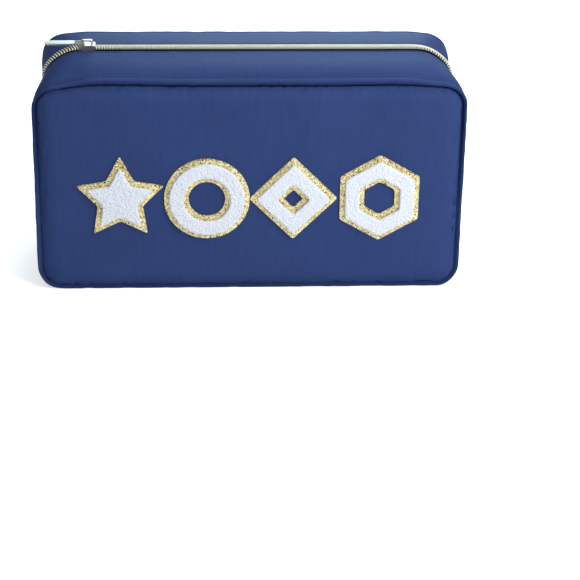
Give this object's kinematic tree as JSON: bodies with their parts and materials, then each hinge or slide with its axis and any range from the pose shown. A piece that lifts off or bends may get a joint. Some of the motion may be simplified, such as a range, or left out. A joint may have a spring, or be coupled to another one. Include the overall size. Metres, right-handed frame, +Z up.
{
  "type": "zip-top fabric bag",
  "caption": "Boxy padded fabric bag for mahjong tiles, with a zip over its top that opens in two flaps, a metal slider with a pull tab, and raised fleecy patches on the front.",
  "frame": {"origin": "middle of the base, on the surface the bag stands on", "axes": "+Z up, +X along the bag to the right as seen from the front, -Y out of the front panel with the patches"},
  "size_m": [0.28, 0.1092, 0.1567],
  "materials": {
    "blue_nylon": "satin nylon weave",
    "foam": "thin foam",
    "lining": "plain woven lining",
    "zip_tape": "woven tape",
    "zip_coil": "pale gold coil",
    "slider_metal": "polished metal",
    "gold_glitter": "gold glitter",
    "white_chenille": "looped chenille"
  },
  "bodies": {
    "bag": {"back_coil_left_end": "zip_coil", "back_coil_right_end": "zip_coil", "back_lining": "lining", "back_padding": "foam", "back_panel": "blue_nylon", "back_zip_lining_left_end": "lining", "back_zip_lining_right_end": "lining", "back_zip_strip_left_end": "blue_nylon", "back_zip_strip_right_end": "blue_nylon", "back_zip_tape_left_end": "zip_tape", "back_zip_tape_right_end": "zip_tape", "bottom_gusset": "blue_nylon", "diamond_patch_backing": "gold_glitter", "diamond_patch_pile": "white_chenille", "front_coil_left_end": "zip_coil", "front_coil_right_end": "zip_coil", "front_lining": "lining", "front_padding": "foam", "front_panel": "blue_nylon", "front_zip_lining_left_end": "lining", "front_zip_lining_right_end": "lining", "front_zip_strip_left_end": "blue_nylon", "front_zip_strip_right_end": "blue_nylon", "front_zip_tape_left_end": "zip_tape", "front_zip_tape_right_end": "zip_tape", "gusset_lining": "lining", "gusset_padding": "foam", "hexagon_patch_backing": "gold_glitter", "hexagon_patch_pile": "white_chenille", "ring_patch_backing": "gold_glitter", "ring_patch_pile": "white_chenille", "star_patch_backing": "gold_glitter", "star_patch_pile": "white_chenille"},
    "front_flap": {"front_coil_middle": "zip_coil", "front_zip_lining_middle": "lining", "front_zip_strip_middle": "blue_nylon", "front_zip_tape_middle": "zip_tape"},
    "back_flap": {"back_coil_middle": "zip_coil", "back_zip_lining_middle": "lining", "back_zip_strip_middle": "blue_nylon", "back_zip_tape_middle": "zip_tape"},
    "slider": {"slider_body": "slider_metal"},
    "pull": {"pull_tab": "slider_metal"}
  },
  "joints": [
    {"name": "zip_slide", "type": "slide", "parent": "bag", "child": "slider", "axis": [1, 0, 0], "range_m": [0, 0.212]},
    {"name": "pull_swing", "type": "hinge", "parent": "slider", "child": "pull", "pos_m": [-0.10785, 0, 0.1546], "axis": [0, 1, 0], "range_deg": [0, 180]},
    {"name": "front_flap_open", "type": "hinge", "parent": "bag", "child": "front_flap", "pos_m": [0, -0.0525, 0.143], "axis": [1, 0, 0], "range_deg": [0, 110]},
    {"name": "back_flap_open", "type": "hinge", "parent": "bag", "child": "back_flap", "pos_m": [0, 0.0525, 0.143], "axis": [-1, 0, 0], "range_deg": [0, 110]}
  ]
}
